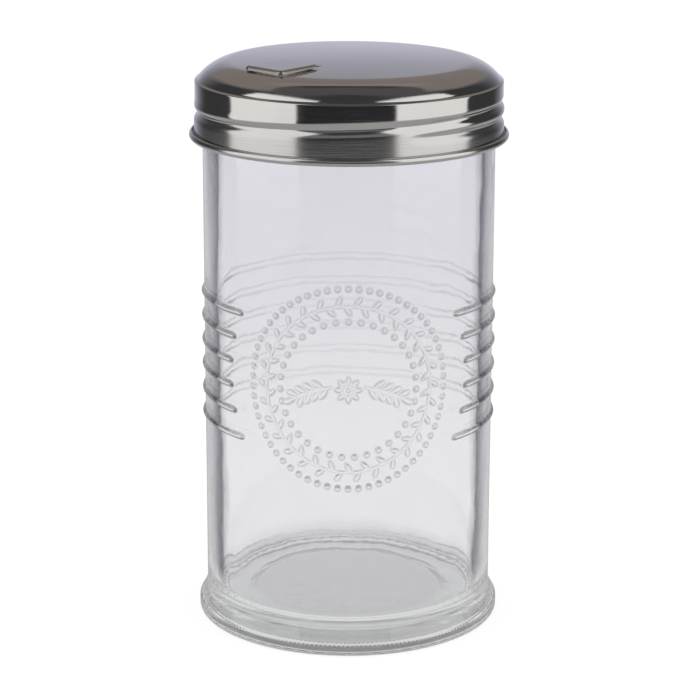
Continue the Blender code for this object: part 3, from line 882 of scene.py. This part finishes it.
def make_jar():
    outline = jar_outline()
    kept = [outline[0]]
    for zone, point in outline[1:]:
        if math.dist(point, kept[-1][1]) > WELD:
            kept.append((zone, point))
    zone = np.array([name for name, _ in kept])[:, None]
    bearing = jar_columns()[None, :]
    radius = np.array([r for _, (r, _) in kept])[:, None] + 0.0 * bearing
    height = np.array([z for _, (_, z) in kept])[:, None] + 0.0 * bearing

    across = BODY_RADIUS * wrapped(bearing) + 0.0 * height
    pattern = np.maximum(rib_relief(across, height), medallion_relief(across, height))
    radius = radius + np.where(zone == "body", pattern, 0.0)

    ridge = groove(bearing, height, GLASS_THREAD_LIFT, GLASS_THREAD_SPREAD)
    top_fade = 1 - soft_step(height, RIM_TOP - THREAD_FADE, RIM_TOP - RIM_MARGIN)
    radius = radius + np.where(zone == "neck", ridge * top_fade, 0.0)

    low, high = FLOOR_EDGE + FLOOR_FILLET, SHOULDER_BOTTOM
    fade = soft_step(height, low, low + WALL_WAVE_FADE)
    fade = fade * (1 - soft_step(height, high - WALL_WAVE_FADE, high))
    radius = radius + np.where(zone == "inside", fade * wall_drift(bearing, height), 0.0)

    slice_width = 2 * math.pi / STIPPLE_COUNT
    sideways = FOOT_RADIUS * ((bearing + slice_width / 2) % slice_width - slice_width / 2)
    dots = STIPPLE_STAND * dish(np.hypot(sideways, height - STIPPLE_HEIGHT), STIPPLE_REACH)
    radius = radius + np.where(zone == "foot", dots, 0.0)

    ring = dish(radius - (STAND_INNER_RADIUS + FOOT_RADIUS) / 2, KNURL_REACH)
    lift = KNURL_DEPTH * ring * (0.5 - 0.5 * np.cos(KNURL_COUNT * bearing))
    height = height + np.where(zone == "stand", lift, 0.0)
    return mesh_from_rings(
        "jar_glass", around(radius, height, bearing),
        (0.0, 0.0, BASE_DISC_HOLLOW), (0.0, 0.0, FLOOR_EDGE + FLOOR_RISE),
    )


def lid_wall(bearing, height):
    """Outer radius of the lid's wall: straight band, rolled screw groove and skirt."""
    share = soft_step(height, BAND_BOTTOM, SKIRT_TOP)
    below = soft_step(height, BAND_BOTTOM + GROOVE_FADE_ABOVE, BAND_BOTTOM - GROOVE_FADE_BELOW)
    depth = groove(bearing, height, 0.0, GROOVE_SPREAD)
    return BAND_RADIUS + (SKIRT_RADIUS - BAND_RADIUS) * share - below * depth


def lid_rings(bearing):
    dome = arc((0.0, DOME_MIDDLE), DOME_RADIUS, DOME_POLE_ANGLE, LID_SHOULDER_START, DOME_STEPS)
    shoulder = arc(
        (LID_SHOULDER_OUT, LID_SHOULDER_UP), LID_SHOULDER_RADIUS,
        LID_SHOULDER_START, LID_SHOULDER_END, SHOULDER_STEPS,
    )
    ledge = rounded([
        (*shoulder[-1], 0.0),
        (BAND_RADIUS, LEDGE_HEIGHT, LEDGE_FILLET),
        (BAND_RADIUS, BAND_BOTTOM + BAND_MARGIN, 0.0),
    ], LEDGE_SPACING)
    wall = even(BAND_BOTTOM + BAND_MARGIN, CURL_MIDDLE, LID_WALL_SPACING)
    curl = arc(
        (SKIRT_RADIUS + CURL_HOLLOW, CURL_MIDDLE), CURL_HOLLOW,
        -math.pi / 2, -math.pi / 2 - CURL_SWEEP, CURL_STEPS,
    )
    plain = dome + shoulder[1:] + ledge[1:-1]
    rings = [around(r + 0.0 * bearing, z, bearing) for r, z in plain]
    for z in wall:
        rings.append(around(lid_wall(bearing, z + 0.0 * bearing), z, bearing))
    rings += [around(r + 0.0 * bearing, z, bearing) for r, z in curl[1:]]
    return np.array(rings)[::-1]


def scratch_object(name, mesh):
    thing = bpy.data.objects.new(name, mesh)
    bpy.context.scene.collection.objects.link(thing)
    return thing


def evaluated_mesh(thing):
    """A mesh of the object with its modifiers applied."""
    bpy.context.view_layer.update()
    shown = thing.evaluated_get(bpy.context.evaluated_depsgraph_get())
    return bpy.data.meshes.new_from_object(shown)


def finished_mesh(thing, name):
    """The object's mesh with its modifiers applied; the object and its cutters are removed."""
    mesh = evaluated_mesh(thing)
    mesh.name = name
    cutters = [modifier.object for modifier in thing.modifiers if modifier.type == "BOOLEAN"]
    for other in [thing] + cutters:
        bpy.data.objects.remove(other, do_unlink=True)
    mesh.shade_smooth()
    mesh.set_sharp_from_angle(angle=SHEET_SHARP_ANGLE)
    return mesh


def with_flat_faces(mesh):
    """The mesh with normals weighted by area, so that its flat faces reflect as flat ones."""
    name = mesh.name
    thing = scratch_object("flat_faces", mesh)
    weighted = thing.modifiers.new("Flat faces", "WEIGHTED_NORMAL")
    weighted.keep_sharp = True
    weighted.weight = NORMAL_WEIGHT
    flat = evaluated_mesh(thing)
    bpy.data.objects.remove(thing, do_unlink=True)
    bpy.data.meshes.remove(mesh)
    flat.name = name
    return flat


def thicken(thing, thickness, offset):
    sheet = thing.modifiers.new("Sheet", "SOLIDIFY")
    sheet.thickness = thickness
    sheet.offset = offset
    sheet.use_even_offset = True


def combine(thing, other, operation):
    boolean = thing.modifiers.new(operation.title() + " " + other.name, "BOOLEAN")
    boolean.operation = operation
    boolean.solver = "EXACT"
    boolean.object = other


def hinge_place():
    heading = -math.pi / 2 - FLAP_BEARING
    return Matrix.Translation(Vector(HINGE["pos_m"])) @ (
        Matrix.Rotation(heading, 4, "Z") @ Matrix.Rotation(FLAP_TILT, 4, "Y")
    )


def plate(name, outlines, thickness):
    """A plate in the XY plane from closed outlines; an outline inside another is a hole."""
    curve = bpy.data.curves.new(name, "CURVE")
    curve.dimensions = "2D"
    curve.fill_mode = "BOTH"
    curve.extrude = thickness / 2
    for outline in outlines:
        spline = curve.splines.new("POLY")
        spline.points.add(len(outline) - 1)
        for point, (x, y) in zip(spline.points, outline):
            point.co = (x, y, 0.0, 1.0)
        spline.use_cyclic_u = True
    guide = scratch_object(name, curve)
    mesh = evaluated_mesh(guide)
    bpy.data.objects.remove(guide, do_unlink=True)
    bm = bmesh.new()
    bm.from_mesh(mesh)
    bmesh.ops.remove_doubles(bm, verts=bm.verts, dist=WELD)
    bmesh.ops.recalc_face_normals(bm, faces=bm.faces)
    bm.to_mesh(mesh)
    bm.free()
    return mesh


def bar(name, radius, length, rounding=0.0):
    """A rod along Y with rounded ends."""
    rows = [(radius, -length / 2)]
    if rounding:
        rows = [
            (radius + rounding * (math.sin(t) - 1), rounding * (1 - math.cos(t)) - length / 2)
            for t in np.linspace(0.0, math.pi / 2, ROD_ROUNDING_STEPS + 1)
        ]
    rows += [(r, -z) for r, z in reversed(rows)]
    turn = full_turn(ROD_COLUMNS)
    rings = np.array([
        np.stack([r * np.cos(turn), 0.0 * turn + z, -r * np.sin(turn)], -1) for r, z in rows
    ])
    mesh = mesh_from_rings(name, rings, (0.0, -length / 2, 0.0), (0.0, length / 2, 0.0))
    mesh.set_sharp_from_angle(angle=ROD_SHARP_ANGLE)
    return mesh


def make_lid():
    top = DOME_MIDDLE + DOME_RADIUS
    mesh = mesh_from_rings("lid", lid_rings(full_turn(LID_COLUMNS)), None, (0.0, 0.0, top))
    lid = scratch_object("lid_work", mesh)
    thicken(lid, LID_SHEET, -1.0)
    place = hinge_place()
    half = OPENING_WIDTH / 2
    middle = (OPENING_START + OPENING_END) / 2
    outline = rounded([
        (middle, -half, 0.0),
        (OPENING_END, -half, OPENING_CORNER),
        (OPENING_END, half, OPENING_CORNER),
        (OPENING_START, half, OPENING_CORNER),
        (OPENING_START, -half, OPENING_CORNER),
        (middle, -half, 0.0),
    ], OPENING_SPACING)[:-1]
    cutter = scratch_object("opening", plate("opening", [outline], OPENING_CUT))
    cutter.matrix_world = place @ Matrix.Translation((0.0, 0.0, HINGE_DEPTH - LID_SHEET))
    combine(lid, cutter, "DIFFERENCE")
    for side in (-1, 1):
        high = HINGE_DEPTH - LID_SHEET / 2
        shape = [(EAR_RADIUS, high)]
        shape += arc((0.0, 0.0), EAR_RADIUS, math.pi / 2, 3 * math.pi / 2, EAR_STEPS)
        shape += [(-EAR_RADIUS, high)]
        hole = arc((0.0, 0.0), BORE_RADIUS, 0.0, 2 * math.pi, HOLE_STEPS)[:-1]
        flat = plate("ear", [shape, hole], LID_SHEET)
        flat.transform(Matrix.Rotation(math.pi / 2, 4, "X"))
        ear = scratch_object("ear_front" if side < 0 else "ear_back", flat)
        spot = (0.0, side * (EAR_SPACING + LID_SHEET) / 2, 0.0)
        ear.matrix_world = place @ Matrix.Translation(spot)
        combine(lid, ear, "UNION")
    return finished_mesh(lid, "lid_steel")


def dome_clearance():
    """The space under the flap's rims: the dome's outer face raised by the seat gap."""
    dome = arc(
        (0.0, DOME_MIDDLE), DOME_RADIUS + SEAT_GAP,
        DOME_POLE_ANGLE, LID_SHOULDER_START, CLEARANCE_DOME_STEPS,
    )
    shoulder = arc(
        (LID_SHOULDER_OUT, LID_SHOULDER_UP), LID_SHOULDER_RADIUS + SEAT_GAP,
        LID_SHOULDER_START, LID_SHOULDER_END, CLEARANCE_SHOULDER_STEPS,
    )
    outline = dome + shoulder[1:]
    bearing = full_turn(CLEARANCE_COLUMNS)
    rings = np.array([around(r + 0.0 * bearing, z, bearing) for r, z in outline])[::-1]
    top = (0.0, 0.0, DOME_MIDDLE + DOME_RADIUS + SEAT_GAP)
    return mesh_from_rings("dome_clearance", rings, (0.0, 0.0, outline[-1][1]), top)


def make_cap():
    """The plate with its three rims, as a sheet without thickness in the hinge's frame."""
    start = TONGUE_X + TONGUE_BEND
    half = FLAP_WIDTH / 2
    corners = []
    for z in (0.0, FLAP_TOP):
        for x in (start, FLAP_LIP):
            corners += [(x, -half, z), (x, half, z)]
    mesh = bpy.data.meshes.new("cap")
    mesh.from_pydata(corners, [], [(4, 6, 7, 5), (2, 3, 7, 6), (0, 2, 6, 4), (1, 5, 7, 3)])
    bm = bmesh.new()
    bm.from_mesh(mesh)
    weight = bm.edges.layers.float.new("bevel_weight_edge")
    for edge in bm.edges:
        if not edge.is_boundary:
            upright = abs(edge.verts[0].co.z - edge.verts[1].co.z) > FLAP_SHEET
            edge[weight] = 1.0 if upright else FLAP_EDGE / FLAP_CORNER
    bm.to_mesh(mesh)
    bm.free()
    return mesh


def make_tongue():
    """The strip that bends down from the plate to the knuckle, without thickness."""
    start = TONGUE_X + TONGUE_BEND
    middle = FLAP_TOP - FLAP_SHEET / 2
    line = [(start + TONGUE_ROOT, middle)]
    line += arc(
        (start, middle - TONGUE_BEND), TONGUE_BEND, 0.0, -math.pi / 2, TONGUE_BEND_STEPS
    )
    line += [(TONGUE_X, 0.0)]
    width = KNUCKLE_LENGTH - TONGUE_INSET
    rows = [[(x, side * width / 2, z) for x, z in line] for side in (-1, 1)]
    count = len(line)
    strip = bpy.data.meshes.new("tongue")
    faces = [(i, i + 1, count + i + 1, count + i) for i in range(count - 1)]
    strip.from_pydata(rows[0] + rows[1], [], faces)
    return strip


def make_flap():
    place = hinge_place()
    flap = scratch_object("flap_work", make_cap())
    flap.matrix_world = place
    bends = flap.modifiers.new("Bends", "BEVEL")
    bends.width = FLAP_CORNER
    bends.segments = FLAP_BEND_STEPS
    bends.limit_method = "WEIGHT"
    thicken(flap, FLAP_SHEET, -1.0)
    clearance = scratch_object("clearance", dome_clearance())
    combine(flap, clearance, "DIFFERENCE")
    tongue = scratch_object("tongue", make_tongue())
    tongue.matrix_world = place
    thicken(tongue, FLAP_SHEET - TONGUE_INSET, 0.0)
    knuckle = scratch_object("knuckle", bar("knuckle", KNUCKLE_RADIUS, KNUCKLE_LENGTH))
    knuckle.matrix_world = place
    bore = scratch_object("bore", bar("bore", BORE_RADIUS, KNUCKLE_LENGTH + BORE_OVERRUN))
    bore.matrix_world = place
    combine(flap, tongue, "UNION")
    combine(flap, knuckle, "UNION")
    combine(flap, bore, "DIFFERENCE")
    mesh = with_flat_faces(finished_mesh(flap, "flap_plate"))
    mesh.transform(place)
    return mesh


def make_pin():
    mesh = bar("hinge_wire", PIN_RADIUS, PIN_LENGTH, PIN_ROUNDING)
    mesh.transform(hinge_place())
    return mesh


def flat_square(name, reach):
    mesh = bpy.data.meshes.new(name)
    mesh.from_pydata(
        [(-reach, -reach, 0.0), (reach, -reach, 0.0), (reach, reach, 0.0), (-reach, reach, 0.0)],
        [], [(0, 1, 2, 3)],
    )
    return mesh


def stage_material(name):
    material = bpy.data.materials.new(name)
    material.use_nodes = True
    material.node_tree.nodes.clear()
    return material, Link(material.node_tree)


def make_floor():
    """A large white floor that keeps the jar's shadow. The steel sees the small table instead."""
    floor = scratch_object("floor", flat_square("floor", FLOOR_REACH))
    floor.visible_glossy = False
    material, start = stage_material("floor_white")
    path = start.node("ShaderNodeLightPath", output="Is Camera Ray")
    seen = path.maths("MAXIMUM", path * FLOOR_GLOW_SHARE, path.output("Is Transmission Ray"))
    white = start.node("ShaderNodeEmission", values={"Color": grey(1.0), "Strength": FLOOR_GLOW})
    matt = start.node("ShaderNodeBsdfDiffuse", values={"Color": grey(FLOOR_MATT)})
    blend = start.node("ShaderNodeMixShader", values={0: seen, 1: matt, 2: white})
    start.node("ShaderNodeOutputMaterial", values={"Surface": blend})
    floor.data.materials.append(material)


def make_table():
    """The white table top round the jar, as the polished steel and the glass's gloss see it."""
    turn = full_turn(TABLE_COLUMNS)
    mesh = bpy.data.meshes.new("table")
    mesh.from_pydata(
        [(TABLE_RADIUS * math.cos(t), TABLE_RADIUS * math.sin(t), -TABLE_DROP) for t in turn],
        [], [tuple(range(len(turn)))],
    )
    table = scratch_object("table", mesh)
    table.visible_camera = False
    table.visible_diffuse = False
    table.visible_transmission = False
    table.visible_shadow = False
    material, start = stage_material("table_white")
    glow = start.node("ShaderNodeEmission", values={"Color": TABLE_SHADE, "Strength": 1.0})
    away = vector_length(start.node("ShaderNodeTexCoord", output="Object"))
    clear = start.node("ShaderNodeBsdfTransparent")
    fading = start.node(
        "ShaderNodeMixShader", values={0: away.step(TABLE_CLEAR, TABLE_RADIUS), 1: glow, 2: clear}
    )
    start.node("ShaderNodeOutputMaterial", values={"Surface": fading})
    mesh.materials.append(material)


def make_world():
    """A studio. White ground for the camera and through glass; in the gloss, two tall soft boxes
    beside the camera, a pale panel behind the object, a brown wall and a beam above it, and a
    dark ceiling."""
    world = bpy.data.worlds.new("studio")
    bpy.context.scene.world = world
    world.use_nodes = True
    tree = world.node_tree
    tree.nodes.clear()
    start = Link(tree)
    way = start.node("ShaderNodeTexCoord", output="Generated")
    right = start.node("ShaderNodeSeparateXYZ", values={"Vector": way}, output="X")
    up = right.output("Z")
    ahead = 0.0 - right.output("Y")
    side = right.maths("ABSOLUTE", right)
    turn = side.maths("ARCTAN2", side, ahead)
    lift = up.maths("ARCSINE", up)

    panel = past(lift, PANEL_SPLIT).mix(PANEL_LOW, PANEL_HIGH)
    room = past(turn, PANEL_SIDE).mix(ROOM_DARK, panel)
    wall = past(turn, WALL_BROWN_SIDE).mix(WALL_GREY, WALL_BROWN)
    lit = past(lift + WALL_SLANT * turn, WALL_SLANT_EDGE)
    lit = lit * past(lift, WALL_FOOT) * past(turn, WALL_SIDE)
    room = lit.mix(room, wall)
    beam = past(turn, BEAM_SIDE) * (past(lift, BEAM_FOOT) * before(lift, BEAM_TOP))
    room = beam.mix(room, BEAM_SHADE)
    ceiling = past(turn, CEILING_SIDE).mix(CEILING_FRONT, CEILING_BACK)
    dim = past(turn, CEILING_DIM_SIDE) * before(lift, CEILING_DIM_TOP)
    room = past(lift, CEILING_FOOT).mix(room, dim.mix(ceiling, grey(CEILING_DIM)))

    front = before(turn, FRONT_SIDE)
    room = (front * before(lift, FRONT_DARK_TOP)).mix(room, FRONT_DARK)
    pale = front * (past(lift, FRONT_GREY_FOOT) * before(lift, FRONT_GREY_TOP))
    room = pale.mix(room, grey(FRONT_GREY))
    along, forward = SOFT_BOX_WAY
    top_edge = up - SOFT_BOX_SLOPE * (along * side + forward * ahead)
    below_top = 1 - top_edge.step(*SOFT_BOX_TOP)
    for hand, inner_edge in SOFT_BOX_INNER_EDGES:
        own = (hand * right).step(-HAND_EDGE, HAND_EDGE)
        box = past(turn, inner_edge) * before(turn - SOFT_BOX_LEAN * lift, SOFT_BOX_OUTER_EDGE)
        room = (own * (box * below_top)).mix(room, SOFT_BOX_SHADE)

    path = start.node("ShaderNodeLightPath", output="Is Camera Ray")
    through = past(lift, THROUGH_EDGE).mix(grey(1.0), grey(THROUGH_HIGH))
    plain = path.mix(grey(AMBIENT), grey(1.0))
    colour = path.output("Is Glossy Ray").mix(plain, room)
    colour = path.output("Is Transmission Ray").mix(colour, through)
    sky = start.node("ShaderNodeBackground", values={"Color": colour, "Strength": 1.0})
    start.node("ShaderNodeOutputWorld", values={"Surface": sky})


def make_lamps():
    """Two soft side lamps and one above, seen by the matt surfaces only."""
    for name, place, size, power in LAMPS:
        lamp = bpy.data.lights.new(name, "AREA")
        lamp.size = size
        lamp.energy = power
        thing = bpy.data.objects.new(name, lamp)
        bpy.context.scene.collection.objects.link(thing)
        thing.location = place
        aim = Vector(LAMP_AIM) - Vector(place)
        thing.rotation_euler = aim.to_track_quat("-Z", "Y").to_euler()
        thing.visible_glossy = False
        thing.visible_camera = False
        thing.visible_transmission = False


def make_camera():
    camera = bpy.data.cameras.new("camera")
    camera.lens = CAMERA_LENS
    camera.sensor_width = SENSOR_WIDTH
    camera.clip_start = 0.01
    camera.clip_end = 200.0
    thing = bpy.data.objects.new("camera", camera)
    bpy.context.scene.collection.objects.link(thing)
    tilt = Matrix.Rotation(math.radians(90.0 - CAMERA_PITCH), 4, "X")
    level = Matrix.Rotation(CAMERA_ROLL, 4, "Z")
    thing.matrix_world = Matrix.Translation(CAMERA_PLACE) @ tilt @ level
    bpy.context.scene.camera = thing


def main():
    make_camera()
    make_world()
    make_lamps()
    make_floor()
    make_table()
    light_paths = bpy.context.scene.cycles
    light_paths.max_bounces = LIGHT_BOUNCES
    light_paths.glossy_bounces = LIGHT_BOUNCES
    light_paths.transmission_bounces = LIGHT_BOUNCES
    add_piece("jar_glass", make_jar(), "jar", clear_glass(), "glass_jar")
    lid_finish = polished_steel("lid_steel", *LID_STEEL)
    flap_finish = polished_steel("flap_steel", *FLAP_STEEL)
    pin_finish = polished_steel("pin_steel", *PIN_STEEL)
    add_piece("lid_steel", make_lid(), "lid", lid_finish, "lid_shell")
    add_piece("flap_plate", make_flap(), "flap", flap_finish, "flap")
    add_piece("hinge_wire", make_pin(), "lid", pin_finish, "hinge_pin")
    view = bpy.context.scene.view_settings
    view.view_transform = "Standard"


main()
